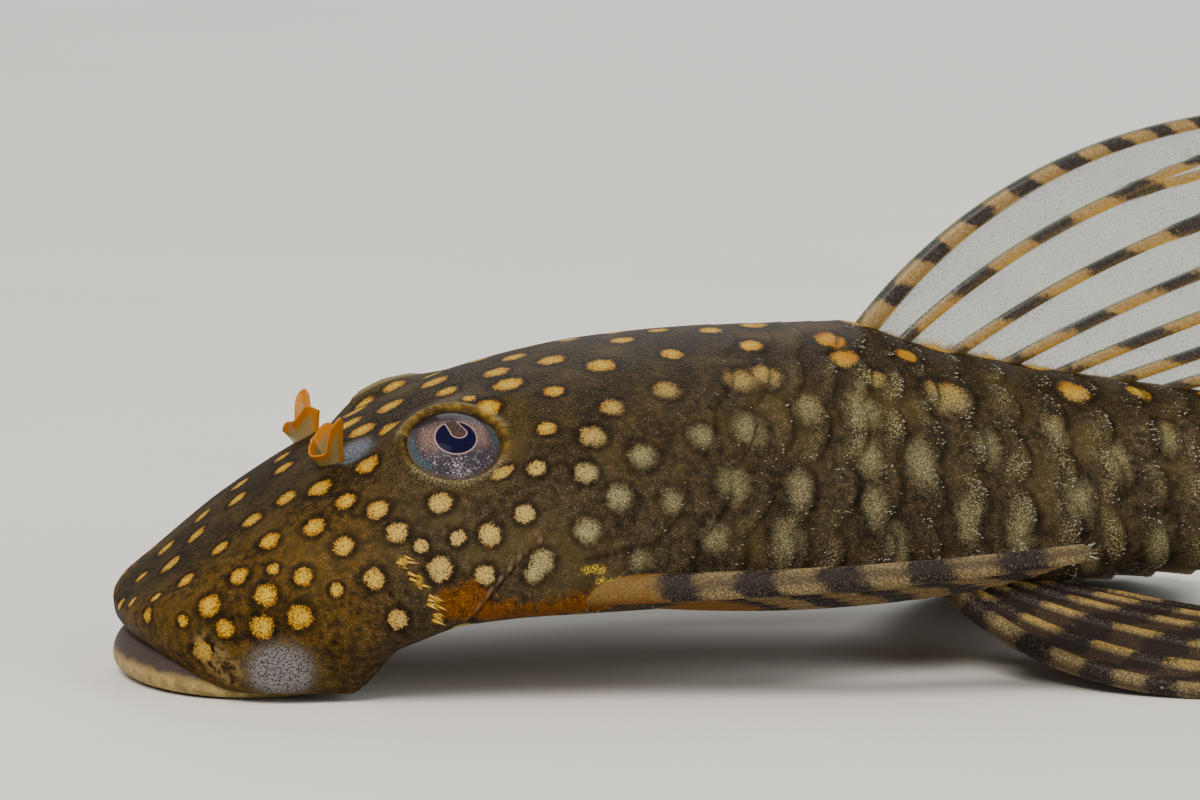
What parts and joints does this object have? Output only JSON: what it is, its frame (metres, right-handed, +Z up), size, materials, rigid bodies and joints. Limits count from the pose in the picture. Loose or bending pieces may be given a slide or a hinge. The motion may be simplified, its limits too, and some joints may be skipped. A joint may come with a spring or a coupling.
{
  "type": "bristlenose catfish",
  "caption": "Life-size young bristlenose catfish at rest on its sucker mouth and fins, with raised plates, fin rays and cheek spines.",
  "frame": {"origin": "middle of the whole fish's outline, on the floor it lies on", "axes": "+X along the fish towards its tail, +Y towards its right side, +Z up from the floor"},
  "size_m": [0.078, 0.0278, 0.0201],
  "materials": {
    "skin": "wet dark brown skin with pale gold spots",
    "fin": "thin webbed fin with banded rays",
    "lip": "soft cream lip",
    "eye": "glossy eye"
  },
  "bodies": {
    "root": {"head": "skin", "gill_cover_left": "skin", "gill_cover_right": "skin", "trunk_front": "skin", "trunk_rear": "skin", "tail_stalk": "skin", "upper_lip": "lip", "lower_lip": "lip", "eye_left": "eye", "eye_right": "eye", "dorsal_fin": "fin", "adipose_fin": "fin", "tail_fin": "fin", "anal_fin": "fin", "pectoral_fin_left": "fin", "pectoral_fin_right": "fin", "pelvic_fin_left": "fin", "pelvic_fin_right": "fin"}
  },
  "joints": []
}
